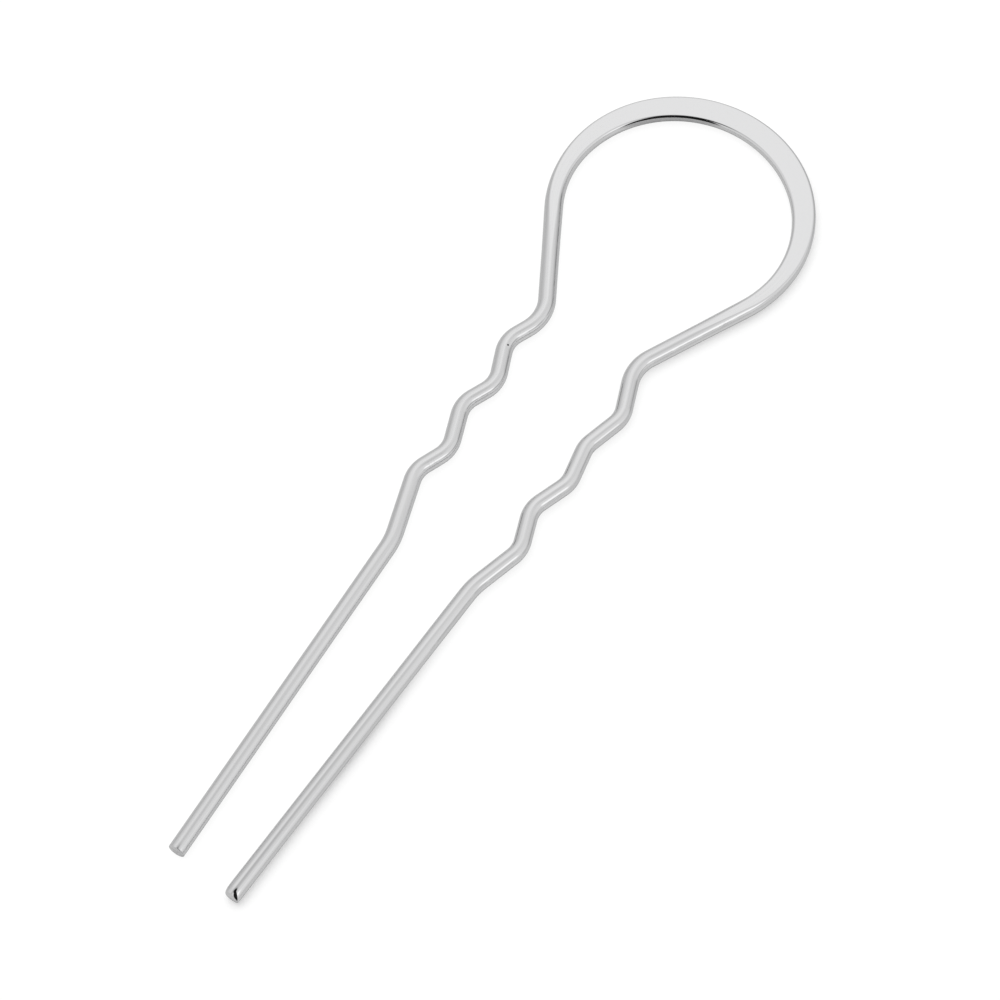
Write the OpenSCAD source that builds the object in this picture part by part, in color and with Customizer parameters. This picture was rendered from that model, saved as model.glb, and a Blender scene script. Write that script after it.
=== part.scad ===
// French hair pin: one length of round wire bent into a keyhole bow with two waved legs.
// It lies on the plane z = 0 with its bow towards +Y, and its mirror line runs along Y.
// Round the bow the wire is forged flat on both faces. It is widest and thinnest at the top
// of the bow and fades back to the round wire where the waves begin.

/* [Wire] */
// Diameter of the round wire
wire_d = 2; // [1.4:0.05:2.8]
// Radius of the softened edge round each tip
tip_round = 0.4; // [0.1:0.05:0.6]

/* [Bow] */
// Radius of the bow, to the middle of its wire
bow_r = 15.3; // [11:0.1:19]
// Width of the flattened wire at the top of the bow
bow_w = 3.4; // [2.9:0.1:5]
// Thickness of the flattened wire at the top of the bow
bow_t = 1.1; // [0.8:0.05:1.35]
// Length of wire on each side of the bow's top over which the flat fades out
flat_run = 40; // [30:0.5:60]

/* [Neck] */
// Distance from the bow's centre to the narrow neck
neck_drop = 21; // [20:0.5:28]
// Distance between the wires at the neck, middle to middle
neck_gap = 12.4; // [9:0.1:16]
// Radius of the bend at the neck
neck_bend_r = 5.2; // [3:0.1:7]

/* [Waves] */
// Length of the waved stretch below the neck
wave_run = 34.5; // [30:0.5:48]
// Depth of a full wave
wave_depth = 2.2; // [1.2:0.1:3]
// Radius of the bends in the waves
bend_r = 3.7; // [2.6:0.1:4.5]

/* [Legs] */
// Distance between the wires where the straight legs begin, middle to middle
leg_gap = 11.2; // [8:0.1:15]
// Radius of the last bend, where the straight leg begins
leg_bend_r = 9.3; // [4:0.1:14]
// Length of the straight legs
leg_len = 45.2; // [25:0.5:70]
// Distance between the wires at the tips, middle to middle
tip_gap = 8.1; // [5:0.1:14]
// How much further the right leg reaches than the left one
right_extra = 1.3; // [0:0.1:5]
// How far both tips swing to the left of the mirror line
tip_drift = 0.45; // [0:0.05:1]

/* [Hidden] */

wire_r = wire_d / 2;

// Bends of a leg from the neck down to its straight end, as the hand bent them.
// Columns: share of wave_run down from the neck, share of wave_depth outwards.
RIGHT_BENDS = [[0, 0.1], [0.19, 1.25], [0.35, 0.55], [0.5, 1], [0.65, 0.15], [0.8, 1], [1, 0.1]];
LEFT_BENDS = [[0, -0.1], [0.15, 1], [0.31, 0.05], [0.44, 1], [0.61, 0.1], [0.74, 1], [1, -0.15]];

// Share of the stretch between two bends that a bend's curve may use at most
BEND_SHARE = 0.48;
// Rings along each half of the bow, along the straight neck and round each bend
BOW_STEPS = 20;
NECK_STEPS = 7;
BEND_STEPS = 5;
// Points in each quarter of a ring, and those of them on the rounded side
QUARTER = 6;
SIDE = 4;
RING = 4 * QUARTER;
// Past its last bend the swept wire narrows by this step over this length and ends inside the
// straight leg, which starts halfway along that length
SEAT_STEP = 0.005;
SEAT_LEN = 0.4;
// Facets of the straight legs
LEG_FN = 48;

// Plane geometry
function along(angle) = [cos(angle), sin(angle)];
function left_of(v) = [-v[1], v[0]];
function unit(v) = v / norm(v);
function heading(v) = atan2(v[1], v[0]);
function turn(a, b) = atan2(a[0] * b[1] - a[1] * b[0], a * b);

// Corners of one leg about the bow's centre, drawn as a right leg
function leg_corners(bends) = [
    for (b = bends) [
        (neck_gap + (leg_gap - neck_gap) * b[0]) / 2 + b[1] * wave_depth,
        -neck_drop - b[0] * wave_run
    ]
];
// The tip of one leg; side is 1 on the right and -1 on the left
function leg_tip(side) = [
    tip_gap / 2 - side * tip_drift,
    -neck_drop - wave_run - leg_len - side * right_extra / 2
];
function bend_radius(i, last) = i == 0 ? neck_bend_r : i == last ? leg_bend_r : bend_r;

// Where the neck leaves the bow, as an angle about the bow's centre
function bow_end(corner) = heading(corner) + acos(bow_r / norm(corner));

// Stations [x, y, heading] round the corner between two straight stretches
function bend_stations(from, corner, to, radius) =
    let (
        u = unit(corner - from),
        a = turn(u, unit(to - corner)),
        room = BEND_SHARE * min(norm(corner - from), norm(to - corner)),
        r = min(radius, room / tan(abs(a) / 2)),
        hand = sign(a),
        centre = corner - u * r * tan(abs(a) / 2) + hand * r * left_of(u)
    )
    [
        for (k = [0:BEND_STEPS])
            let (h = heading(u) + a * k / BEND_STEPS, p = centre - hand * r * left_of(along(h)))
            [p[0], p[1], h]
    ];
// Stations along a straight stretch, without its two ends
function run_stations(a, b, steps) = [
    for (k = [1:steps - 1])
        let (t = k / steps)
        [a[0] + (b[0] - a[0]) * t, a[1] + (b[1] - a[1]) * t, b[2]]
];

// Half of the wire, from the top of the bow to the start of the straight leg
function half_stations(bends, side) =
    let (
        corners = leg_corners(bends),
        last = len(corners) - 1,
        stop = bow_end(corners[0]),
        bow = [
            for (k = [0:BOW_STEPS])
                let (a = 90 + (stop - 90) * k / BOW_STEPS)
                [bow_r * cos(a), bow_r * sin(a), a - 90]
        ],
        points = concat([bow_r * along(stop)], corners, [leg_tip(side)]),
        waves = [
            for (i = [0:last])
                each bend_stations(points[i], points[i + 1], points[i + 2], bend_radius(i, last))
        ]
    )
    concat(bow, run_stations(bow[BOW_STEPS], waves[0], NECK_STEPS), waves);

// Length of wire from the first station to each station
function step_length(stations, i) =
    i + 1 < len(stations)
        ? norm([stations[i + 1][0] - stations[i][0], stations[i + 1][1] - stations[i][1]])
        : 0;
function wire_lengths(stations) = [
    for (i = 0, s = 0; i < len(stations); s = s + step_length(stations, i), i = i + 1) s
];

// How flat the wire is at a length s from the top of the bow: 1 there, 0 where it is round
function flatness(s) = pow(cos(90 * min(s / flat_run, 1)), 2);

// One ring of the wire: a circle of radius half_w, cut flat at half_t above and below
function ring_angle(j, corner) =
    let (quarter = floor(j / QUARTER), k = j % QUARTER, n = quarter % 2 == 0 ? k : QUARTER - k)
    let (a = n <= SIDE ? corner * n / SIDE : corner + (90 - corner) * (n - SIDE) / (QUARTER - SIDE))
    quarter % 2 == 0 ? 90 * quarter + a : 90 * (quarter + 1) - a;
function ring(station, half_w, half_t) =
    let (
        corner = min(asin(min(half_t / half_w, 1)), 90 * SIDE / QUARTER),
        across = left_of(along(station[2]))
    )
    [
        for (j = [0:RING - 1])
            let (a = ring_angle(j, corner), u = half_w * cos(a), v = half_w * sin(a))
            [
                station[0] + u * across[0],
                station[1] + u * across[1],
                wire_r + max(-half_t, min(half_t, v))
            ]
    ];

// The station this much further along a straight stretch
function further(station, length) =
    [station[0] + length * cos(station[2]), station[1] + length * sin(station[2]), station[2]];

// Rings of one half of the wire, from the top of the bow into the straight leg
function half_rings(stations) =
    let (
        s = wire_lengths(stations),
        last = len(stations) - 1,
        end = stations[last],
        thin = wire_r - SEAT_STEP
    )
    concat(
        [
            for (i = [0:last])
                let (f = flatness(s[i]))
                ring(
                    stations[i],
                    wire_r + (bow_w / 2 - wire_r) * f,
                    wire_r + (bow_t / 2 - wire_r) * f
                )
        ],
        [for (k = [1, 2]) ring(further(end, k * SEAT_LEN), thin, thin)]
    );
// A ring mirrored to the left leg; its points keep their order along the wire
function mirrored(ring) = [for (p = ring) [-p[0], p[1], p[2]]];

right_half = half_stations(RIGHT_BENDS, 1);
left_half = half_stations(LEFT_BENDS, -1);

// The origin is the middle of the pin's length and width, on the surface it lies on
top_y = bow_r + bow_w / 2;
bottom_y = min(leg_tip(1)[1], leg_tip(-1)[1]);
centre_y = -(top_y + bottom_y) / 2;

// The bow, the necks and the waves as one swept wire
module bent_wire() {
    left_rings = half_rings(left_half);
    rings = concat(
        [for (i = [len(left_rings) - 1:-1:1]) mirrored(left_rings[i])],
        half_rings(right_half)
    );
    count = len(rings);
    polyhedron(
        points = [for (r = rings) each r],
        faces = concat(
            [[for (j = [0:RING - 1]) j]],
            [
                for (i = [0:count - 2], j = [0:RING - 1])
                    let (a = i * RING + j, b = i * RING + (j + 1) % RING)
                    [a, a + RING, b + RING, b]
            ],
            [[for (j = [RING - 1:-1:0]) (count - 1) * RING + j]]
        ),
        convexity = 10
    );
}

// A straight leg of plain round wire with a softened tip, drawn as a right leg
module straight_leg(stations, tip) {
    start = further(stations[len(stations) - 1], SEAT_LEN / 2);
    length = norm(tip - [start[0], start[1]]);
    translate([start[0], start[1], wire_r])
        rotate([0, 0, start[2]])
            rotate([0, 90, 0])
                rotate_extrude($fn = LEG_FN) {
                    square([wire_r - tip_round, length]);
                    square([wire_r, length - tip_round]);
                    translate([wire_r - tip_round, length - tip_round])
                        circle(tip_round, $fn = LEG_FN);
                }
}

module hair_pin() {
    color([0.82, 0.82, 0.83])
        translate([0, centre_y, 0]) {
            bent_wire();
            straight_leg(right_half, leg_tip(1));
            mirror([1, 0, 0]) straight_leg(left_half, leg_tip(-1));
        }
}

hair_pin();
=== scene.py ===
# %% [markdown]
# # A french hair pin of forged silver wire
# The real object is one length of round wire, 2 mm thick. Its middle is bent round into an open
# bow and hammered flat, its two legs are crimped into waves that grip the hair, and then they run
# on straight to two blunt tips. Everything below makes that one piece, its polish, and a small
# photographic studio round it.

# %% Load the frame
import math
import bpy
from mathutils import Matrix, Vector


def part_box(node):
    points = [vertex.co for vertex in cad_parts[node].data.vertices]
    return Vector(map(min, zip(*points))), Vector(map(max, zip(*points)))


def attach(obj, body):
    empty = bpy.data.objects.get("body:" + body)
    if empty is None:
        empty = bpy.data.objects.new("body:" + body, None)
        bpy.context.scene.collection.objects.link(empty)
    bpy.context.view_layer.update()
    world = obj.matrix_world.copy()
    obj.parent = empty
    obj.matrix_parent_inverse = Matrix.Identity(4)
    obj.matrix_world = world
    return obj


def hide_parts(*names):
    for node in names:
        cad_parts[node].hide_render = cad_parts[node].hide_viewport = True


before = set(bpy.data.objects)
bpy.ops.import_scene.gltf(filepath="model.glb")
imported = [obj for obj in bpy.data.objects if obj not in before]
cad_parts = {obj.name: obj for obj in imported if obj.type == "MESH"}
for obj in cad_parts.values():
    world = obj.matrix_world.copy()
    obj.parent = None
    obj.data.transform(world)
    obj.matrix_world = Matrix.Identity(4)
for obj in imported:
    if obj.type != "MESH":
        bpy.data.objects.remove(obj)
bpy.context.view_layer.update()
low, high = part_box("hair_pin")
MM = 0.001
print("CAD box, mm:", [round((b - a) / MM, 2) for a, b in zip(low, high)])

# %% [markdown]
# ## The sizes
# A bent wire has few sizes: its thickness, the bow's radius, and where each bend sits. They are the
# ones that the solid model was made from, so the dressed pin lies where the solid one lies. The
# hand bent the two legs differently, so each has its own short table of bends: the share of the
# waved stretch that lies above the bend, and the share of a full wave that it stands outwards.

# %% Sizes of the wire and the bow
WIRE_R = 1.0 * MM
BOW_R = 15.3 * MM
BOW_HALF_W = 1.7 * MM
BOW_HALF_T = 0.55 * MM
FLAT_RUN = 40 * MM
print("flat of the bow, mm:", round(2 * BOW_HALF_W / MM, 2), "x", round(2 * BOW_HALF_T / MM, 2))

# %% Sizes of the necks, the waves and the legs
NECK_DROP = 21 * MM
NECK_GAP = 12.4 * MM
WAVE_RUN = 34.5 * MM
WAVE_DEPTH = 2.2 * MM
LEG_GAP = 11.2 * MM
LEG_LEN = 45.2 * MM
TIP_GAP = 8.1 * MM
RIGHT_EXTRA = 1.3 * MM
TIP_DRIFT = 0.45 * MM
RIGHT_BENDS = [(0, 0.1), (0.19, 1.25), (0.35, 0.55), (0.5, 1), (0.65, 0.15), (0.8, 1), (1, 0.1)]
LEFT_BENDS = [(0, -0.1), (0.15, 1), (0.31, 0.05), (0.44, 1), (0.61, 0.1), (0.74, 1), (1, -0.15)]
print("bends in each leg:", len(RIGHT_BENDS), "and", len(LEFT_BENDS))

# %% [markdown]
# ## The camera
# The camera comes first, so that every later step can be judged from the picture's own angle. It
# is described as a photographer would: how far round the pin it stands, how high it looks down
# from, how far away it is, and how long the lens is.

# %% Camera at the photograph's angle
CAM_AZIMUTH = math.radians(32.577)
CAM_HEIGHT = math.radians(64.334)
CAM_DISTANCE = 351.3 * MM
CAM_TARGET = Vector((2.192, -1.83, 0)) * MM
CAM_LENS_MM = 108
CAM_FILM_MM = 36
NEAREST_SEEN = 0.01
FURTHEST_SEEN = 20


def direction(azimuth, elevation):
    """A unit vector; azimuth 0 points to -Y and a quarter turn points to +X."""
    flat = math.cos(elevation)
    return Vector((math.sin(azimuth) * flat, -math.cos(azimuth) * flat, math.sin(elevation)))


scene = bpy.context.scene
camera = bpy.data.objects.new("camera", bpy.data.cameras.new("camera"))
scene.collection.objects.link(camera)
scene.camera = camera
back = direction(CAM_AZIMUTH, CAM_HEIGHT)
camera.location = CAM_TARGET + back * CAM_DISTANCE
camera.rotation_euler = (-back).to_track_quat("-Z", "Y").to_euler()
camera.data.lens = CAM_LENS_MM
camera.data.sensor_width = CAM_FILM_MM
camera.data.clip_start = NEAREST_SEEN
camera.data.clip_end = FURTHEST_SEEN
print("camera stands at, mm:", [round(c / MM, 1) for c in camera.location])

# %% [markdown]
# ## The line that the wire follows
# A silversmith bends the wire round a mandrel for the bow and nips it with round-nosed pliers for
# the waves. Both give plain arcs joined by straight stretches. So the middle line of the wire is
# worked out the same way: an arc for the bow, then corners that are each rounded by an arc. Only
# this line is made in Python. The metal itself is grown along it by a Geometry Nodes tree.

# %% Small helpers for lines in the plane
QUARTER_TURN = math.pi / 2


def heading_of(v):
    return math.atan2(v.y, v.x)


def pointing(angle):
    return Vector((math.cos(angle), math.sin(angle)))


def turn_between(a, b):
    """The angle from one direction to another, left turns positive."""
    return math.atan2(a.x * b.y - a.y * b.x, a.dot(b))


from_x_to_y = turn_between(pointing(0), pointing(QUARTER_TURN))
print("from +X round to +Y, degrees:", round(math.degrees(from_x_to_y)))

# %% Corners of one leg, about the bow's centre
def leg_corners(bends):
    corners = []
    for share, out in bends:
        half_gap = (NECK_GAP + (LEG_GAP - NECK_GAP) * share) / 2
        corners.append(Vector((half_gap + out * WAVE_DEPTH, -NECK_DROP - share * WAVE_RUN)))
    return corners


def leg_tip(side):
    """The end of a leg, drawn as a right one; side is 1 on the right and -1 on the left."""
    down = NECK_DROP + WAVE_RUN + LEG_LEN + side * RIGHT_EXTRA / 2
    return Vector((TIP_GAP / 2 - side * TIP_DRIFT, -down))


def bow_end(corner):
    """The angle at which a straight neck leaves the bow towards the first corner."""
    return heading_of(corner) + math.acos(BOW_R / corner.length)


right_bow_end = bow_end(leg_corners(RIGHT_BENDS)[0])
print("bow ends at, degrees:", round(math.degrees(right_bow_end), 2))

# %% Rounding one corner
BEND_R = 3.7 * MM
NECK_BEND_R = 5.2 * MM
LEG_BEND_R = 9.3 * MM
BEND_SHARE = 0.48
BEND_STEP = math.radians(3)
FEWEST_STEPS = 6


def bend_points(before, corner, after, radius):
    """Points along the arc that rounds a corner between two straight stretches."""
    start = (corner - before).normalized()
    turn = turn_between(start, (after - corner).normalized())
    room = BEND_SHARE * min((corner - before).length, (after - corner).length)
    r = min(radius, room / math.tan(abs(turn) / 2))
    hand = math.copysign(1, turn)
    left = Vector((-start.y, start.x))
    centre = corner - start * (r * math.tan(abs(turn) / 2)) + left * (hand * r)
    steps = max(FEWEST_STEPS, math.ceil(abs(turn) / BEND_STEP))
    points = []
    for k in range(steps + 1):
        angle = heading_of(start) + turn * k / steps
        side = Vector((-math.sin(angle), math.cos(angle)))
        points.append(centre - side * (hand * r))
    return points


square_corner = bend_points(pointing(QUARTER_TURN), Vector((0, 0)), pointing(0), BEND_R)
print("points round a square corner:", len(square_corner))

# %% One half of the line, from the bow's top to the tip
BOW_STEP = math.radians(2.2)
LONGEST_STEP = 1.1 * MM


def bow_points(stop):
    """Points along half of the bow, from its top to the angle where the neck leaves it."""
    swing = stop - QUARTER_TURN
    steps = math.ceil(-swing / BOW_STEP)
    return [pointing(QUARTER_TURN + swing * k / steps) * BOW_R for k in range(steps + 1)]


def fill_straight(points, longest):
    """Adds points wherever two neighbours are further apart than the longest step."""
    filled = [points[0]]
    for a, b in zip(points, points[1:]):
        pieces = max(1, math.ceil((b - a).length / longest))
        filled += [a.lerp(b, k / pieces) for k in range(1, pieces + 1)]
    return filled


def half_line(bends, side, tip):
    """Points of one half, and the values that each ring round the wire has there: the shares of its
    height and its width that are left, how far it leans back to the bow, and how far it moves
    sideways."""
    corners = leg_corners(bends)
    end = leg_tip(side)
    profile = tip["profile"]
    bow = bow_points(bow_end(corners[0]))
    stations = [bow[-1]] + corners + [end]
    radii = [NECK_BEND_R] + [BEND_R] * (len(corners) - 2) + [LEG_BEND_R]
    line = []
    for i, radius in enumerate(radii):
        line += bend_points(stations[i], stations[i + 1], stations[i + 2], radius)
    along = (end - line[-1]).normalized()
    line.append(end - along * profile[0][0])
    line = bow[:-1] + fill_straight(bow[-1:] + line, LONGEST_STEP)
    height_kept = [1.0] * len(line)
    for from_end, share in profile[1:]:
        line.append(end - along * from_end)
        height_kept.append(share)
    lean = [0.0] * (len(line) - len(profile)) + [-side * tip["lean"]] * len(profile)
    width_kept = [1 - tip["side_share"] * (1 - share) for share in height_kept]
    aside = [tip["aside"] * WIRE_R * (1 - share) for share in width_kept]
    return line, {"height_kept": height_kept, "width_kept": width_kept,
                  "ring_lean": lean, "ring_aside": aside}


print("points along half of the bow:", len(bow_points(right_bow_end)))

# %% [markdown]
# The maker cut both legs with a saw. The left one was only deburred, so its end is flat with a
# crisp edge. The right one was filed more: it falls away above and below in a long curve, and its
# sides lost less, so that only the inner one draws in. Each tip has a profile, a short list of how
# far from the end, and how much of the radius is left. It also has the share of that loss which
# its sides take, and how much of theirs the end makes up by moving to the outer side. Neither end
# is quite square: both lean back a little, because the file came from above.

# %% Profiles of the two tips
ROUNDS_OF_SOLVING = 30


def deburred_end(edge, steps):
    """A flat end with a small round edge."""
    profile = []
    for k in range(steps + 1):
        angle = QUARTER_TURN * k / steps
        from_end = edge * (1 - math.sin(angle))
        share = 1 - (edge / WIRE_R) * (1 - math.cos(angle))
        profile.append((from_end, share))
    return profile


def filed_end(reach, side_power, dome_power, steps, cut):
    """A superellipse: high powers are squarer, along the side or over the dome. The cut is what the
    file has taken off the whole end."""
    profile = []
    for k in range(steps):
        angle = QUARTER_TURN * k / steps
        forward, outward = math.sin(angle), math.cos(angle)
        size = 1.0
        for _ in range(ROUNDS_OF_SOLVING):
            side_part = (forward * size) ** side_power
            dome_part = (outward * size) ** dome_power
            slope = side_power * side_part + dome_power * dome_part
            size -= (side_part + dome_part - 1) * size / slope
        profile.append((cut + reach * (1 - forward * size), outward * size))
    return profile


LEFT_TIP = {
    "profile": deburred_end(edge=0.055 * MM, steps=6),
    "lean": 0.08,
    "side_share": 1.0,
    "aside": 0.0,
}
RIGHT_TIP = {
    "profile": filed_end(reach=1.4 * MM, side_power=2.6, dome_power=4.4, steps=34, cut=0.1 * MM),
    "lean": 0.08,
    "side_share": 0.4,
    "aside": 0.9,
}
print("right tip, mm from the end and share of the radius:",
      [(round(x / MM, 3), round(r, 3)) for x, r in RIGHT_TIP["profile"][::5]])

# %% Both halves as one line, laid where the solid pin lies
bow_centre_y = high.y - BOW_R - BOW_HALF_W
right_line, right_values = half_line(RIGHT_BENDS, 1, RIGHT_TIP)
left_line, left_values = half_line(LEFT_BENDS, -1, LEFT_TIP)
left_line = [Vector((-p.x, p.y)) for p in left_line]
flat_line = left_line[::-1] + right_line[1:]
ring_values = {name: left_values[name][::-1] + right_values[name][1:] for name in left_values}
wire_line = [Vector((p.x, p.y + bow_centre_y, WIRE_R)) for p in flat_line]
length_to_top = sum((b - a).length for a, b in zip(left_line, left_line[1:]))
wire_length = sum((b - a).length for a, b in zip(flat_line, flat_line[1:]))
print("stations:", len(wire_line), " wire from the left tip to the bow's top, mm:",
      round(length_to_top / MM, 2))

# %% A mesh of nothing but the line
def chain_mesh(name, points, **values):
    """A line of points, with one named value a point for each list."""
    mesh = bpy.data.meshes.new(name)
    mesh.from_pydata([tuple(p) for p in points], [(i, i + 1) for i in range(len(points) - 1)], [])
    for value_name, numbers in values.items():
        attribute = mesh.attributes.new(value_name, "FLOAT", "POINT")
        attribute.data.foreach_set("value", numbers)
    obj = bpy.data.objects.new(name, mesh)
    bpy.context.scene.collection.objects.link(obj)
    return obj


line_object = chain_mesh("wire_line", wire_line, **ring_values)
print("line object:", len(line_object.data.vertices), "points")

# %% [markdown]
# ## The metal, grown by Geometry Nodes
# The pin follows one rule: a round wire is swept along the line, and the nearer it is to the bow's
# top, the wider and thinner the hammer has made it. A tree suits that well, because the rule needs
# only the length of wire between a point and the bow's top. The tree sweeps a plain circle, asks
# each point of the tube how far along and how far out it is, and moves it to where the forged
# metal would be.

# %% An empty tree with named inputs
tree = bpy.data.node_groups.new("forged_wire", "GeometryNodeTree")
tree.interface.new_socket("Line", in_out="INPUT", socket_type="NodeSocketGeometry")
for name in ("Wire Radius", "Bow Half Width", "Bow Half Thickness", "Flat Run", "Length to Top",
             "Edge Radius", "Unevenness"):
    tree.interface.new_socket(name, in_out="INPUT", socket_type="NodeSocketFloat")
tree.interface.new_socket("Ring Points", in_out="INPUT", socket_type="NodeSocketInt")
tree.interface.new_socket("Seed", in_out="INPUT", socket_type="NodeSocketInt")
tree.interface.new_socket("Metal", in_out="INPUT", socket_type="NodeSocketMaterial")
tree.interface.new_socket("Wire", in_out="OUTPUT", socket_type="NodeSocketGeometry")
given = tree.nodes.new("NodeGroupInput").outputs
result = tree.nodes.new("NodeGroupOutput").inputs
print("tree inputs:", [s.name for s in given if s.name])

# %% Short ways to add a node to a tree
def node(in_tree, kind, **settings):
    made = in_tree.nodes.new(kind)
    for key, value in settings.items():
        setattr(made, key, value)
    return made


def feed(in_tree, socket, value):
    """Links a socket, or sets a plain value on it."""
    if isinstance(value, bpy.types.NodeSocket):
        in_tree.links.new(value, socket)
    else:
        socket.default_value = value


def fill(in_tree, made, values):
    """Feeds a node's inputs by their names, or by their numbers where names repeat."""
    for name, value in values.items():
        feed(in_tree, made.inputs[name], value)
    return made


def tell(what, in_tree):
    print(what, "has", len(in_tree.nodes), "nodes so far")


tell("the wire's tree", tree)

# %% Short ways to reckon with nodes
def calc(in_tree, operation, *values):
    made = node(in_tree, "ShaderNodeMath", operation=operation)
    return fill(in_tree, made, dict(enumerate(values))).outputs[0]


def calc_vector(in_tree, operation, *values, output=0):
    made = node(in_tree, "ShaderNodeVectorMath", operation=operation)
    return fill(in_tree, made, dict(enumerate(values))).outputs[output]


def scaled(in_tree, vector, factor):
    made = node(in_tree, "ShaderNodeVectorMath", operation="SCALE")
    return fill(in_tree, made, {0: vector, "Scale": factor}).outputs[0]


def rise(in_tree, value, begin, end, low_value=0, high_value=1, kind="LINEAR"):
    """Low up to where it begins, high past the end, and an even rise between the two."""
    made = node(in_tree, "ShaderNodeMapRange", interpolation_type=kind)
    fill(in_tree, made, {"Value": value, "From Min": begin, "From Max": end,
                         "To Min": low_value, "To Max": high_value})
    return made.outputs[0]


def soft_rise(in_tree, value, begin, end, low_value=0, high_value=1):
    """The same with a gentle start and finish."""
    return rise(in_tree, value, begin, end, low_value, high_value, kind="SMOOTHSTEP")


def axes_of(in_tree, vector):
    made = node(in_tree, "ShaderNodeSeparateXYZ")
    return fill(in_tree, made, {0: vector}).outputs


print("helpers: calc, calc_vector, scaled, rise, soft_rise and axes_of")

# %% Sweep a plain round wire and remember where each ring came from
to_curve = fill(tree, node(tree, "GeometryNodeMeshToCurve"), {"Mesh": given["Line"]})
to_remember = {
    "Centre": ("VECTOR", node(tree, "GeometryNodeInputPosition").outputs[0]),
    "Heading": ("VECTOR", node(tree, "GeometryNodeInputTangent").outputs[0]),
    "Length": ("FLOAT", node(tree, "GeometryNodeSplineParameter").outputs["Length"]),
}
for name in ring_values:
    read = node(tree, "GeometryNodeInputNamedAttribute", data_type="FLOAT")
    to_remember[name] = ("FLOAT", fill(tree, read, {"Name": name}).outputs["Attribute"])
remember = node(tree, "GeometryNodeCaptureAttribute", domain="POINT")
feed(tree, remember.inputs["Geometry"], to_curve.outputs["Curve"])
for name, (kind, value) in to_remember.items():
    remember.capture_items.new(kind, name)
    feed(tree, remember.inputs[name], value)
ring = node(tree, "GeometryNodeCurvePrimitiveCircle", mode="RADIUS")
fill(tree, ring, {"Resolution": given["Ring Points"], "Radius": given["Wire Radius"]})
sweep = node(tree, "GeometryNodeCurveToMesh")
fill(tree, sweep, {"Curve": remember.outputs["Geometry"], "Profile Curve": ring.outputs["Curve"],
                   "Fill Caps": True})
centre = remember.outputs["Centre"]
heading = remember.outputs["Heading"]
length = remember.outputs["Length"]
print("captured:", [item.name for item in remember.capture_items])

# %% How far out each point of the tube is, across the wire and upwards
UP = (0, 0, 1)
across_dir = calc_vector(tree, "NORMALIZE", calc_vector(tree, "CROSS_PRODUCT", UP, heading))
offset = calc_vector(tree, "SUBTRACT", node(tree, "GeometryNodeInputPosition").outputs[0], centre)
unit_offset = scaled(tree, offset, calc(tree, "DIVIDE", 1, given["Wire Radius"]))
across = calc_vector(tree, "DOT_PRODUCT", unit_offset, across_dir, output=1)
upwards = calc_vector(tree, "DOT_PRODUCT", unit_offset, UP, output=1)
tell("the wire's tree", tree)

# %% How flat the hammer has made the wire there
from_top = calc(tree, "ABSOLUTE", calc(tree, "SUBTRACT", length, given["Length to Top"]))
fade = calc(tree, "MINIMUM", calc(tree, "DIVIDE", from_top, given["Flat Run"]), 1)
wave = calc(tree, "COSINE", calc(tree, "MULTIPLY", fade, QUARTER_TURN))
flatness = calc(tree, "MULTIPLY", wave, wave)


def forged(size_at_top):
    """Wire Radius where the wire is round, going over to the size at the bow's top."""
    growth = calc(tree, "SUBTRACT", size_at_top, given["Wire Radius"])
    return calc(tree, "MULTIPLY_ADD", growth, flatness, given["Wire Radius"])


half_width = forged(given["Bow Half Width"])
half_height = forged(given["Bow Half Thickness"])
print("the wire is round from, mm of wire from the top:", round(FLAT_RUN / MM))

# %% The hammer leaves the flat's width a little uneven, never wider than the rule
CHANGES_PER_METRE = 160
uneven = node(tree, "ShaderNodeTexNoise", noise_dimensions="1D")
fill(tree, uneven, {"W": calc(tree, "ADD", length, given["Seed"]), "Scale": CHANGES_PER_METRE,
                    "Detail": 1})
most_lost = calc(tree, "MULTIPLY", given["Unevenness"], flatness)
loss = calc(tree, "MULTIPLY", uneven.outputs[0], most_lost)
half_width = calc(tree, "SUBTRACT", half_width, loss)
print("the width changes about once in, mm:", round(1 / CHANGES_PER_METRE / MM, 1))

# %% [markdown]
# ### The section of the forged wire
# Hammering squeezes a round wire between two flats. Its sides keep their round shape and its edges
# come out soft, so each quarter of the section is three parts: the round side, a tight arc round
# the edge, and the flat. The tree works out where the arc touches its two neighbours, and spreads
# the ring's points over the three parts by their lengths, with more of them round the tight arc.
# Where the wire is still round, the arc and the flat shrink to nothing.

# %% Where the edge arc touches the side and the flat
edge = calc(tree, "MINIMUM", given["Edge Radius"], half_height)
side_reach = calc(tree, "SUBTRACT", half_width, edge)
arc_height = calc(tree, "SUBTRACT", half_height, edge)
lean = calc(tree, "MINIMUM", calc(tree, "DIVIDE", arc_height, side_reach), 1)
side_angle = calc(tree, "ARCSINE", lean)
edge_angle = calc(tree, "SUBTRACT", QUARTER_TURN, side_angle)
side_squared = calc(tree, "MULTIPLY", side_reach, side_reach)
height_squared = calc(tree, "MULTIPLY", arc_height, arc_height)
flat_squared = calc(tree, "MAXIMUM", calc(tree, "SUBTRACT", side_squared, height_squared), 0)
flat_reach = calc(tree, "SQRT", flat_squared)
tell("the wire's tree", tree)

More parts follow.
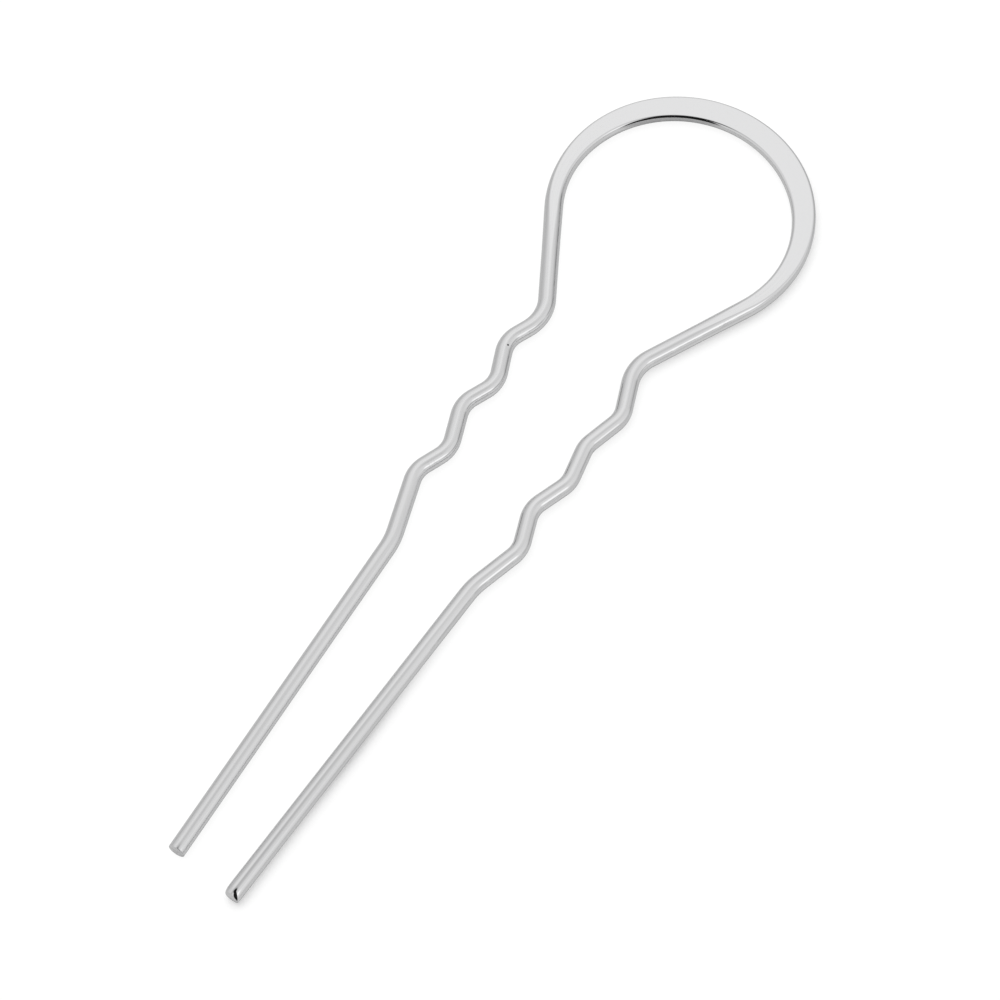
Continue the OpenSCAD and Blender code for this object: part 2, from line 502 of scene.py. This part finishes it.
# %% How many of the points each part gets
EDGE_CROWDING = 2.0
side_length = calc(tree, "MULTIPLY", half_width, side_angle)
edge_length = calc(tree, "MULTIPLY", calc(tree, "MULTIPLY", edge, edge_angle), EDGE_CROWDING)
side_and_edge = calc(tree, "ADD", side_length, edge_length)
all_length = calc(tree, "ADD", side_and_edge, flat_reach)
to_side_end = calc(tree, "DIVIDE", side_length, all_length)
to_edge_end = calc(tree, "DIVIDE", side_and_edge, all_length)
size_up = calc(tree, "ABSOLUTE", upwards)
size_across = calc(tree, "ABSOLUTE", across)
turned_up = calc(tree, "ARCTAN2", size_up, size_across)
share = calc(tree, "DIVIDE", turned_up, QUARTER_TURN)
# How much of each part of the quarter lies behind a point, from 0 to 1
side_done = rise(tree, share, 0, to_side_end)
edge_done = rise(tree, share, to_side_end, to_edge_end)
flat_done = rise(tree, share, to_edge_end, 1)
tell("the wire's tree", tree)

# %% The place of each point in the section
past_side = calc(tree, "GREATER_THAN", share, to_side_end)
arc_radius = calc(tree, "SUBTRACT", half_width, calc(tree, "MULTIPLY", side_reach, past_side))
flat_left = calc(tree, "SUBTRACT", 1, flat_done)
arc_out = calc(tree, "MULTIPLY", calc(tree, "MULTIPLY", flat_reach, flat_left), past_side)
arc_up = calc(tree, "MULTIPLY", arc_height, past_side)
edge_turned = calc(tree, "MULTIPLY", edge_angle, edge_done)
angle = calc(tree, "MULTIPLY_ADD", side_angle, side_done, edge_turned)
outwards = calc(tree, "MULTIPLY_ADD", arc_radius, calc(tree, "COSINE", angle), arc_out)
upright = calc(tree, "MULTIPLY_ADD", arc_radius, calc(tree, "SINE", angle), arc_up)
width = calc(tree, "MULTIPLY", outwards, calc(tree, "SIGN", across))
height = calc(tree, "MULTIPLY", upright, calc(tree, "SIGN", upwards))
tell("the wire's tree", tree)

# %% Bending has left the necks and the waves a little wider than they are thick
NECK_SPREAD = 0.085
WAVE_SPREAD = 0.045
LEG_SPREAD = 0.015
FLAT_TO_NECK = (25 * MM, 34 * MM)
NECK_TO_WAVES = (44 * MM, 54 * MM)
WAVES_TO_LEG = (84 * MM, 100 * MM)
neck_gain = soft_rise(tree, from_top, *FLAT_TO_NECK, 0, NECK_SPREAD)
wave_gain = soft_rise(tree, from_top, *NECK_TO_WAVES, 0, WAVE_SPREAD - NECK_SPREAD)
leg_gain = soft_rise(tree, from_top, *WAVES_TO_LEG, 0, LEG_SPREAD - WAVE_SPREAD)
spread = calc(tree, "ADD", calc(tree, "ADD", neck_gain, wave_gain), leg_gain)
width = calc(tree, "MULTIPLY_ADD", width, spread, width)
print("wider than thick, at the necks, waves and legs:", NECK_SPREAD, WAVE_SPREAD, LEG_SPREAD)

# %% Draw the section in at the tips, move it sideways and lean the end rings back
kept = remember.outputs
height = calc(tree, "MULTIPLY", height, kept["height_kept"])
width = calc(tree, "MULTIPLY_ADD", width, kept["width_kept"], kept["ring_aside"])
above_table = calc(tree, "ADD", height, given["Wire Radius"])
shift = calc(tree, "MULTIPLY", kept["ring_lean"], above_table)
print("least share of the height left, at the tips:", round(min(ring_values["height_kept"]), 3))

# %% Move every point to its place
to_place = calc_vector(tree, "ADD", scaled(tree, across_dir, width), scaled(tree, UP, height))
to_place = calc_vector(tree, "ADD", to_place, scaled(tree, heading, shift))
move = node(tree, "GeometryNodeSetPosition")
fill(tree, move, {"Geometry": sweep.outputs["Mesh"],
                  "Position": calc_vector(tree, "ADD", centre, to_place)})
tell("the wire's tree", tree)


# %% Keep what the polish needs: the place in the straightened wire, and how flat it is
def stored(geometry, name, kind, value):
    """Stores a value on each point, under a name that the material reads."""
    made = node(tree, "GeometryNodeStoreNamedAttribute", data_type=kind, domain="POINT")
    return fill(tree, made, {"Geometry": geometry, "Name": name, "Value": value}).outputs[0]


straight = node(tree, "ShaderNodeCombineXYZ")
fill(tree, straight, {"X": calc(tree, "ADD", length, shift), "Y": width, "Z": height})
with_place = stored(move.outputs["Geometry"], "straightened", "FLOAT_VECTOR", straight.outputs[0])
with_flatness = stored(with_place, "hammered", "FLOAT", flatness)
tell("the wire's tree", tree)

# %% Smooth shading, real geometry and the metal end the tree
smooth = fill(tree, node(tree, "GeometryNodeSetShadeSmooth"), {"Geometry": with_flatness})
real = fill(tree, node(tree, "GeometryNodeRealizeInstances"), {"Geometry": smooth.outputs[0]})
dress = node(tree, "GeometryNodeSetMaterial")
fill(tree, dress, {"Geometry": real.outputs["Geometry"], "Material": given["Metal"]})
feed(tree, result["Wire"], dress.outputs["Geometry"])
print("nodes in the tree:", len(tree.nodes))

# %% [markdown]
# ## The finish: polished silver
# The real wire was drawn through a steel plate, which leaves fine lines along its length, and then
# polished by hand on a buff, which blurs them but never quite removes them. The hammer and the
# final polish have cleared them from the flat. Handling adds a few short marks. Thin dark lines on
# the waves and down the right leg, and one small dark spot, are painted reflections: dark ones of
# the tent and of the camera. So the polish is a metal whose colour, roughness and tiny relief
# follow the wire itself. The tree stored each point's place in the straightened wire, and the
# patterns read that, so they turn with every bend. Each effect is a node group with its own inputs.

# %% Drawing lines along the wire
FLOAT = "NodeSocketFloat"
VECTOR = "NodeSocketVector"
FINE_DETAIL = 3


def shader_group(name, inputs, output):
    """An empty group with named inputs and one number to put out."""
    group = bpy.data.node_groups.new(name, "ShaderNodeTree")
    for socket_name, kind in inputs.items():
        group.interface.new_socket(socket_name, in_out="INPUT", socket_type=kind)
    group.interface.new_socket(output, in_out="OUTPUT", socket_type=FLOAT)
    inside = group.nodes.new("NodeGroupInput").outputs
    return group, inside, group.nodes.new("NodeGroupOutput").inputs[output]


lines_group, lines_in, lines_out = shader_group(
    "drawing_lines", {"Place": VECTOR, "Lines per Metre": FLOAT, "Length Share": FLOAT}, "Lines")
stretched = node(lines_group, "ShaderNodeCombineXYZ")
fill(lines_group, stretched, {"X": lines_in["Length Share"], "Y": 1, "Z": 1})
long_place = calc_vector(lines_group, "MULTIPLY", lines_in["Place"], stretched.outputs[0])
grooves = node(lines_group, "ShaderNodeTexNoise")
fill(lines_group, grooves, {"Vector": long_place, "Scale": lines_in["Lines per Metre"],
                            "Detail": FINE_DETAIL})
feed(lines_group, lines_out, grooves.outputs[0])
tell(lines_group.name, lines_group)

# %% Short marks from handling: bent cell edges, kept in a few places
BENDS_PER_METRE = 400
BEND_OF_MARKS = 0.004
MARK_STRETCH = (1, 0.25, 0.25)
PLACES_PER_METRE = 700
PLACES_LIFTED = 0.35
PLACES_SOFT = 0.06
MARK_WIDTH = 0.03
marks_group, marks_in, marks_out = shader_group(
    "handling_marks", {"Place": VECTOR, "Marks per Metre": FLOAT, "Share Marked": FLOAT}, "Mask")
mark_place = marks_in["Place"]
warp = node(marks_group, "ShaderNodeTexNoise")
fill(marks_group, warp, {"Vector": mark_place, "Scale": BENDS_PER_METRE})
bent = scaled(marks_group, warp.outputs["Color"], BEND_OF_MARKS)
drawn_out = calc_vector(marks_group, "MULTIPLY", mark_place, MARK_STRETCH)
cells = node(marks_group, "ShaderNodeTexVoronoi", feature="DISTANCE_TO_EDGE")
fill(marks_group, cells, {"Vector": calc_vector(marks_group, "ADD", bent, drawn_out),
                          "Scale": marks_in["Marks per Metre"]})
thin = rise(marks_group, cells.outputs[0], MARK_WIDTH, 0)
here = node(marks_group, "ShaderNodeTexNoise")
fill(marks_group, here, {"Vector": mark_place, "Scale": PLACES_PER_METRE})
threshold = calc(marks_group, "SUBTRACT", 1, marks_in["Share Marked"])
chosen = rise(marks_group, calc(marks_group, "ADD", here.outputs[0], PLACES_LIFTED), threshold,
              calc(marks_group, "ADD", threshold, PLACES_SOFT))
feed(marks_group, marks_out, calc(marks_group, "MULTIPLY", thin, chosen))
tell(marks_group.name, marks_group)

# %% One tiny dark spot, a painted reflection of the camera
SPOT_RIM_OUTSIDE = 1.3
SPOT_RIM_INSIDE = 0.7
# A small round dark spot, painted into the colour where the camera's reflection falls
camera_spot_group, camera_spot_in, camera_spot_out = shader_group(
    "painted_camera_reflection", {"Place": VECTOR, "Spot": VECTOR, "Radius": FLOAT}, "Mask")
from_spot = calc_vector(camera_spot_group, "DISTANCE", camera_spot_in["Place"], camera_spot_in["Spot"], output=1)
in_radii = calc(camera_spot_group, "DIVIDE", from_spot, camera_spot_in["Radius"])
feed(camera_spot_group, camera_spot_out, soft_rise(camera_spot_group, in_radii, SPOT_RIM_OUTSIDE, SPOT_RIM_INSIDE))
tell(camera_spot_group.name, camera_spot_group)

# %% A painted dark line on the upper side, standing for a dark reflection, which grows darker along the wire
painted_line_group, painted_line_in, painted_line_out = shader_group(
    "painted_dark_line",
    {"Place": VECTOR, "Across": FLOAT, "Half Width": FLOAT, "Begin": FLOAT, "Deepest": FLOAT,
     "End": FLOAT},
    "Mask")
in_wire = axes_of(painted_line_group, painted_line_in["Place"])
to_line = calc(painted_line_group, "SUBTRACT", in_wire["Y"], painted_line_in["Across"])
off_line = calc(painted_line_group, "ABSOLUTE", to_line)
near_line = soft_rise(painted_line_group, off_line, painted_line_in["Half Width"], 0)
darkening = rise(painted_line_group, in_wire["X"], painted_line_in["Begin"], painted_line_in["Deepest"])
on_top = calc(painted_line_group, "GREATER_THAN", in_wire["Z"], 0)
before_end = calc(painted_line_group, "LESS_THAN", in_wire["X"], painted_line_in["End"])
line_mask = calc(painted_line_group, "MULTIPLY", near_line, darkening)
line_there = calc(painted_line_group, "MULTIPLY", on_top, before_end)
feed(painted_line_group, painted_line_out, calc(painted_line_group, "MULTIPLY", line_mask, line_there))
tell(painted_line_group.name, painted_line_group)

# %% The silver, and where it lies in the straightened wire
silver = bpy.data.materials.new("polished_silver")
silver.use_nodes = True
metal = silver.node_tree
surface = metal.nodes["Principled BSDF"]
surface.inputs["Metallic"].default_value = 1


def stored_value(name):
    return node(metal, "ShaderNodeAttribute", attribute_type="GEOMETRY", attribute_name=name)


place = stored_value("straightened").outputs["Vector"]


def effect(group, **values):
    """One group in the silver, fed with the place in the wire and with its own values."""
    made = node(metal, "ShaderNodeGroup", node_tree=group)
    fill(metal, made, {"Place": place})
    fill(metal, made, {name.replace("_", " "): value for name, value in values.items()})
    return made.outputs[0]


def tinted(amount, colour, other):
    """One colour, going over to another by an amount from 0 to 1."""
    made = node(metal, "ShaderNodeMix", data_type="RGBA")
    return fill(metal, made, {0: amount, 6: colour, 7: other}).outputs[2]


print("material:", silver.name)

# %% Drawing lines tint the silver everywhere but on the hammered flat
SILVER = (0.92, 0.92, 0.923, 1)
SILVER_DULL = (0.86, 0.86, 0.868, 1)
MEAN_OF_LINES = 0.5
FLAT_ENOUGH = 0.5
LINES_FROM = 0.3
LINES_TO = 0.7
lines = effect(lines_group, Lines_per_Metre=5000, Length_Share=0.01)
hammered = stored_value("hammered").outputs["Fac"]
not_hammered = rise(metal, hammered, FLAT_ENOUGH, 0)
swing_of_lines = calc(metal, "SUBTRACT", lines, MEAN_OF_LINES)
lines_left = calc(metal, "MULTIPLY_ADD", swing_of_lines, not_hammered, MEAN_OF_LINES)
groove_share = rise(metal, lines_left, LINES_FROM, LINES_TO)
colour = tinted(groove_share, SILVER, SILVER_DULL)
tell("the silver", metal)

# %% A painted reflection of the camera on the left waves, and a painted dark reflection line towards the right tip
CAMERA_REFLECTION_DARK = (0.1, 0.1, 0.1, 1)
SILVER_IN_PAINTED_LEG_LINE = (0.7, 0.7, 0.706, 1)
# A small dark spot near the top of the left waves: the camera's reflection, painted into the colour
painted_camera_spot = effect(camera_spot_group, Spot=Vector((74.35, -0.38, 0.93)) * MM, Radius=0.13 * MM)
colour = tinted(painted_camera_spot, colour, CAMERA_REFLECTION_DARK)
# A painted dark line down the right leg's top, standing for a dark reflection of the shade overhead
painted_leg_line = effect(painted_line_group, Across=0.06 * MM, Half_Width=0.2 * MM,
                Begin=length_to_top + 88 * MM, Deepest=length_to_top + 120 * MM,
                End=wire_length - 0.3 * MM)
colour = tinted(painted_leg_line, colour, SILVER_IN_PAINTED_LEG_LINE)
tell("the silver", metal)

# %% Painted dark lines along the right side of the waves, standing for dark reflections, broken here and there
SILVER_IN_PAINTED_WAVE_LINE = (0.5, 0.5, 0.505, 1)
BREAKS_PER_METRE = 600
BROKEN_BELOW = 0.36
WHOLE_ABOVE = 0.5
LEFT_IN_BREAKS = 0.25
WAVE_LINE_HALF_WIDTH = 0.085 * MM
# For each leg: across the wire, then along it from the bow's top, all in mm, then the strength
PAINTED_WAVE_LINES = {
    "left waves": (-0.76, -76, -70, -30, 1.0),
    "right waves": (0.8, 26, 34, 92, 0.65),
}
breaks = node(metal, "ShaderNodeTexNoise")
fill(metal, breaks, {"Vector": place, "Scale": BREAKS_PER_METRE})
unbroken = rise(metal, breaks.outputs[0], BROKEN_BELOW, WHOLE_ABOVE, LEFT_IN_BREAKS)
# Each is a painted dark line in the colour, standing for a dark reflection on the wave's side
for across_mm, begin, darkest_at, end, strength in PAINTED_WAVE_LINES.values():
    painted_wave_line = effect(painted_line_group, Across=across_mm * MM, Half_Width=WAVE_LINE_HALF_WIDTH,
                    Begin=length_to_top + begin * MM, Deepest=length_to_top + darkest_at * MM,
                    End=length_to_top + end * MM)
    broken = calc(metal, "MULTIPLY", painted_wave_line, unbroken)
    colour = tinted(calc(metal, "MULTIPLY", broken, strength), colour, SILVER_IN_PAINTED_WAVE_LINE)
feed(metal, surface.inputs["Base Color"], colour)
print("painted_lines_on_waves:", list(PAINTED_WAVE_LINES))

# %% Its gloss: duller in the lines and the marks, and on the left leg, which was buffed less
GLOSS = 0.04
LINES_DULL = 0.04
MARKS_DULL = 0.15
LEFT_LEG_DULL = 0.05
LEFT_LEG_ENDS = 90 * MM
LEFT_LEG_FULL = 80 * MM
marks = effect(marks_group, Marks_per_Metre=900, Share_Marked=0.1)
rough = calc(metal, "MULTIPLY_ADD", groove_share, LINES_DULL, GLOSS)
rough = calc(metal, "MULTIPLY_ADD", marks, MARKS_DULL, rough)
along_wire = axes_of(metal, place)["X"]
left_leg = rise(metal, along_wire, LEFT_LEG_ENDS, LEFT_LEG_FULL, 0, LEFT_LEG_DULL)
feed(metal, surface.inputs["Roughness"], calc(metal, "ADD", rough, left_leg))
print("roughness, from least to most:", GLOSS,
      round(GLOSS + LINES_DULL + MARKS_DULL + LEFT_LEG_DULL, 2))

# %% Its tiny relief
MARK_DEPTH = -0.8
RELIEF_HEIGHT = 0.0000008
bump = node(metal, "ShaderNodeBump")
bump.inputs["Strength"].default_value = 1
bump.inputs["Distance"].default_value = RELIEF_HEIGHT
feed(metal, bump.inputs["Height"], calc(metal, "MULTIPLY_ADD", marks, MARK_DEPTH, lines_left))
feed(metal, surface.inputs["Normal"], bump.outputs[0])
print("silver's nodes:", len(metal.nodes))

# %% [markdown]
# ## Forge the pin
# The tree is put on the line with its sizes, run once, and its result is kept as a plain mesh. The
# mesh then stands for the solid pin, which is hidden: it rides on the same body.

# %% Run the tree on the line
def set_inputs(modifier, values):
    """Sets a tree's inputs by identifier, which is how the modifier stores them."""
    for item in modifier.node_group.interface.items_tree:
        if item.item_type == "SOCKET" and item.in_out == "INPUT" and item.name in values:
            modifier[item.identifier] = values[item.name]


def as_plain_mesh(obj, name):
    """The evaluated result of an object's modifiers, as a new object at the origin."""
    ready = obj.evaluated_get(bpy.context.evaluated_depsgraph_get())
    made = bpy.data.objects.new(name, bpy.data.meshes.new_from_object(ready))
    bpy.context.scene.collection.objects.link(made)
    return made


forge = line_object.modifiers.new("forge", "NODES")
forge.node_group = tree
set_inputs(forge, {
    "Wire Radius": WIRE_R,
    "Bow Half Width": BOW_HALF_W,
    "Bow Half Thickness": BOW_HALF_T,
    "Flat Run": FLAT_RUN,
    "Length to Top": length_to_top,
    "Edge Radius": 0.38 * MM,
    "Unevenness": 0.02 * MM,
    "Ring Points": 128,
    "Seed": 7,
    "Metal": silver,
})
hair_pin = as_plain_mesh(line_object, "forged_hair_pin")
line_object.modifiers.clear()
bpy.data.objects.remove(line_object)
print("forged:", hair_pin.name, "with", len(hair_pin.data.vertices), "points")

# %% Check the mesh, turn its faces outwards if need be
import bmesh

shape = bmesh.new()
shape.from_mesh(hair_pin.data)
if shape.calc_volume(signed=True) < 0:
    bmesh.ops.reverse_faces(shape, faces=shape.faces)
open_edges = sum(1 for e in shape.edges if not e.is_manifold)
volume = shape.calc_volume(signed=True)
triangles = sum(len(f.verts) - 2 for f in shape.faces)
shape.to_mesh(hair_pin.data)
shape.free()
print("volume, mm3:", round(volume / MM ** 3, 1), " triangles:", triangles,
      " open edges:", open_edges)

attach(hair_pin, "root")
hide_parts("hair_pin")

# %% [markdown]
# ## The floor
# The pin lies on a plain white table. In the photograph the table is so well lit that it has
# burnt out to white, and only parts of the shadow show, while the metal still mirrors it as a soft
# grey with a slight sheen. A matt sheet that also glows, like a table lit from below, gives both:
# the camera's own rays find it brighter than the mirrored ones do. The glow takes no shadow, so
# the more of the white it gives, the fainter the shadow is. The glow is weakest along the right
# leg, stronger beside its tip, the bow and the waves, and strongest inside the pin, where the
# photograph shows no shadow. The sheet's own tone gives the rest of the white, so the open table
# is equally white everywhere.

# %% Floor
FLOOR_HALF = 4.0
SHEEN_IN_METAL = 0.26
SHEEN_ROUGHNESS = 0.2
left_front = (-FLOOR_HALF, -FLOOR_HALF, 0)
right_front = (FLOOR_HALF, -FLOOR_HALF, 0)
right_back = (FLOOR_HALF, FLOOR_HALF, 0)
left_back = (-FLOOR_HALF, FLOOR_HALF, 0)
floor_mesh = bpy.data.meshes.new("floor")
floor_mesh.from_pydata([left_front, right_front, right_back, left_back], [], [(0, 1, 2, 3)])
floor = bpy.data.objects.new("floor", floor_mesh)
scene.collection.objects.link(floor)
paper = bpy.data.materials.new("white_table")
paper.use_nodes = True
floor_mesh.materials.append(paper)
sheet = paper.node_tree
sheet.nodes.clear()
seen = node(sheet, "ShaderNodeLightPath").outputs["Is Camera Ray"]
mirrored = calc(sheet, "SUBTRACT", 1, seen)
matt = node(sheet, "ShaderNodeBsdfDiffuse")
below = node(sheet, "ShaderNodeEmission")
sheen = node(sheet, "ShaderNodeBsdfGlossy")
sheen_tone = calc(sheet, "MULTIPLY", mirrored, SHEEN_IN_METAL)
fill(sheet, sheen, {"Roughness": SHEEN_ROUGHNESS, "Color": sheen_tone})
both = node(sheet, "ShaderNodeAddShader")
fill(sheet, both, {0: matt.outputs[0], 1: below.outputs[0]})
all_three = node(sheet, "ShaderNodeAddShader")
fill(sheet, all_three, {0: both.outputs[0], 1: sheen.outputs[0]})
fill(sheet, node(sheet, "ShaderNodeOutputMaterial"), {"Surface": all_three.outputs[0]})
print("floor, m:", 2 * FLOOR_HALF, "x", 2 * FLOOR_HALF)

# %% How strongly the table glows beside the pin, from the bow down to the tips
GLOW_BY_BOW = 0.56
GLOW_BY_WAVES = 0.84
GLOW_BY_LEG = 0.33
GLOW_BY_TIP = 0.46
BOW_TO_WAVES = (34 * MM, 8 * MM)
DOWN_THE_LEG = (-14 * MM, -40 * MM)
LEG_TO_TIP = (-36 * MM, -48 * MM)
on_table = node(sheet, "ShaderNodeTexCoord").outputs["Object"]
table_axes = axes_of(sheet, on_table)
by_waves = soft_rise(sheet, table_axes["Y"], *BOW_TO_WAVES, GLOW_BY_BOW, GLOW_BY_WAVES)
by_leg = soft_rise(sheet, table_axes["Y"], *DOWN_THE_LEG, 0, GLOW_BY_LEG - GLOW_BY_WAVES)
by_tip = soft_rise(sheet, table_axes["Y"], *LEG_TO_TIP, 0, GLOW_BY_TIP - GLOW_BY_LEG)
beside = calc(sheet, "ADD", calc(sheet, "ADD", by_waves, by_leg), by_tip)
print("glow from bow to tip:", GLOW_BY_BOW, GLOW_BY_WAVES, GLOW_BY_LEG, GLOW_BY_TIP)

# %% How strongly it glows inside the pin and far from it
GLOW_WITHIN = 0.9
BOW_EDGE = (BOW_R, BOW_R - 2 * MM)
RIGHT_LEG_SIDE = (4 * MM, 1 * MM)
PAST_THE_PIN = (80 * MM, 110 * MM)
from_bow = calc_vector(sheet, "DISTANCE", on_table, (0, bow_centre_y, 0), output=1)
in_bow = soft_rise(sheet, from_bow, *BOW_EDGE)
left_of_leg = soft_rise(sheet, table_axes["X"], *RIGHT_LEG_SIDE)
far_off = soft_rise(sheet, calc_vector(sheet, "LENGTH", on_table, output=1), *PAST_THE_PIN)
within = calc(sheet, "MAXIMUM", calc(sheet, "MAXIMUM", in_bow, left_of_leg), far_off)
more = calc(sheet, "MULTIPLY", calc(sheet, "SUBTRACT", GLOW_WITHIN, beside), within)
to_camera = calc(sheet, "ADD", beside, more)
print("glow inside the pin:", GLOW_WITHIN)

# %% The camera's rays find that glow, and as much tone as is left to white
GLOW_IN_METAL = 0.12
TONE_IN_METAL = 0.24
OPEN_TABLE = 1.04
LAMPS_ON_TABLE = 1.12


def for_camera(value, in_metal):
    """One value for the camera's own rays, and another for those that the metal mirrors."""
    change = calc(sheet, "MULTIPLY", calc(sheet, "SUBTRACT", value, in_metal), seen)
    return calc(sheet, "ADD", change, in_metal)


left_to_white = calc(sheet, "SUBTRACT", OPEN_TABLE, to_camera)
tone = calc(sheet, "DIVIDE", left_to_white, LAMPS_ON_TABLE)
feed(sheet, below.inputs["Strength"], for_camera(to_camera, GLOW_IN_METAL))
feed(sheet, matt.inputs["Color"], for_camera(tone, TONE_IN_METAL))
print("floor nodes:", len(sheet.nodes))

# %% [markdown]
# ## The light tent
# Polished metal shows nothing but its surroundings, so a photographer puts it in a tent of white
# cloth. The cloth is brighter where a lamp stands behind it and darker towards its foot, and it is
# open at the front, where the lens looks in. That opening is the black line along the bow's inner
# edge, and the lens hood above it is the black mark on the right tip. Real sheets of cloth round
# the pin would hide it from other sides, so the tent is painted into the world's light instead:
# one soft patch for each lamp or shaded place.

# %% The tent's cloth, from its foot to its top
CLOTH_FOOT = 0.48
CLOTH_TOP = 0.61
FOOT_HEIGHT = -0.22
TOP_HEIGHT = 0.63
world = bpy.data.worlds.new("light_tent")
scene.world = world
world.use_nodes = True
tent = world.node_tree
tent.nodes.clear()
ray = node(tent, "ShaderNodeTexCoord").outputs["Generated"]
height_of_ray = axes_of(tent, ray)["Z"]
brightness = soft_rise(tent, height_of_ray, FOOT_HEIGHT, TOP_HEIGHT, CLOTH_FOOT, CLOTH_TOP)
print("brightness of the cloth, at its foot and its top:", CLOTH_FOOT, CLOTH_TOP)

# %% One soft patch of the tent
patch_group, patch_in, patch_out = shader_group(
    "tent_patch", {"Ray": VECTOR, "Aim": VECTOR, "Full": FLOAT, "Faded": FLOAT}, "Amount")
closeness = calc_vector(patch_group, "DOT_PRODUCT", patch_in["Ray"], patch_in["Aim"], output=1)
feed(patch_group, patch_out,
     soft_rise(patch_group, closeness, patch_in["Faded"], patch_in["Full"]))


def patch(name, azimuth, elevation, full, faded):
    """A round patch, in degrees: where it is, how wide it is full, and where it has faded."""
    made = node(tent, "ShaderNodeGroup", node_tree=patch_group, label=name)
    aim = direction(math.radians(azimuth), math.radians(elevation))
    fill(tent, made, {"Ray": ray, "Aim": aim, "Full": math.cos(math.radians(full)),
                      "Faded": math.cos(math.radians(faded))})
    return made.outputs[0]


tell(patch_group.name, patch_group)

# %% Lamps behind the cloth, and its shaded places
# For each: azimuth, elevation, full to, faded at, all in degrees, then the change in brightness
PATCHES = {
    "left lamp": (-147, 49, 8, 20, 0.045),
    "left lamp's centre": (-154, 58, 4, 13, 0.035),
    "left lamp's glow": (-141, 43, 12, 46, 0.08),
    "right lamp": (85, 37, 5, 15, 0.26),
    "right lamp's glow": (81, 23, 1, 58, 0.09),
    "shade overhead": (-6, 84, 1, 31, -0.13),
    "shade behind": (166, 3, 15, 40, -0.157),
    "shade on the left": (-102, 16, 1, 35, -0.08),
}
for name, (*where, change) in PATCHES.items():
    brightness = calc(tent, "MULTIPLY_ADD", patch(name, *where), change, brightness)
print("patches in the tent:", len(PATCHES))

# %% The open front, and the lens hood above it
OPEN_CENTRE = math.radians(39)
OPEN_HALF = math.radians(38)
OPEN_SOFT = math.radians(5)
OPEN_TOP = math.sin(math.radians(72))
OPEN_TOP_SOFT = 0.02
OPEN_LOSS = -0.985
# The hood is a patch too: azimuth, elevation, full to, faded at, all in degrees
HOOD = (22, 79, 12, 20)
front = direction(OPEN_CENTRE, 0)
side = direction(OPEN_CENTRE + QUARTER_TURN, 0)
ahead = calc_vector(tent, "DOT_PRODUCT", ray, front, output=1)
aside = calc_vector(tent, "DOT_PRODUCT", ray, side, output=1)
swing = calc(tent, "ABSOLUTE", calc(tent, "ARCTAN2", aside, ahead))
inside = soft_rise(tent, swing, OPEN_HALF + OPEN_SOFT, OPEN_HALF - OPEN_SOFT)
under_top = soft_rise(tent, height_of_ray, OPEN_TOP + OPEN_TOP_SOFT, OPEN_TOP - OPEN_TOP_SOFT)
front_open = calc(tent, "MULTIPLY", inside, under_top)
opening = calc(tent, "MAXIMUM", patch("lens hood and tripod", *HOOD), front_open)
closed = calc(tent, "MULTIPLY_ADD", opening, OPEN_LOSS, 1)
brightness = calc(tent, "MULTIPLY", brightness, closed)
print("the front is open for, degrees:", round(2 * math.degrees(OPEN_HALF)))

# %% Only the camera sees a plain white studio behind everything
WHITE = (1, 1, 1, 1)
BACKDROP = 1.1
MIRROR_LOSS = 0.9
glow = node(tent, "ShaderNodeBackground")
fill(tent, glow, {"Color": WHITE, "Strength": calc(tent, "DIVIDE", brightness, MIRROR_LOSS)})
plain = node(tent, "ShaderNodeBackground")
fill(tent, plain, {"Color": WHITE, "Strength": BACKDROP})
pick = node(tent, "ShaderNodeMixShader")
fill(tent, pick, {0: node(tent, "ShaderNodeLightPath").outputs["Is Camera Ray"],
                  1: glow.outputs[0], 2: plain.outputs[0]})
fill(tent, node(tent, "ShaderNodeOutputWorld"), {"Surface": pick.outputs[0]})
print("tent nodes:", len(tent.nodes))

# %% [markdown]
# ## The key lamp
# One very large soft lamp, almost overhead and a little to the left, gives the pin its only
# visible shadow, a wide soft one on its right. The metal doesn't mirror it, as if it stood behind
# the tent's cloth.

# %% Key lamp
KEY_AZIMUTH = math.radians(-110)
KEY_HEIGHT = math.radians(76)
KEY_DISTANCE = 3.0
KEY_SIZE = 3.6
KEY_WATTS = 75
key = bpy.data.objects.new("key_lamp", bpy.data.lights.new("key_lamp", "AREA"))
scene.collection.objects.link(key)
key.data.shape = "DISK"
key.data.size = KEY_SIZE
key.data.energy = KEY_WATTS
to_key = direction(KEY_AZIMUTH, KEY_HEIGHT)
key.location = to_key * KEY_DISTANCE
key.rotation_euler = to_key.to_track_quat("Z", "Y").to_euler()
key.visible_glossy = False
scene.view_settings.view_transform = "Standard"
print("key lamp stands at, m:", [round(c, 2) for c in key.location])
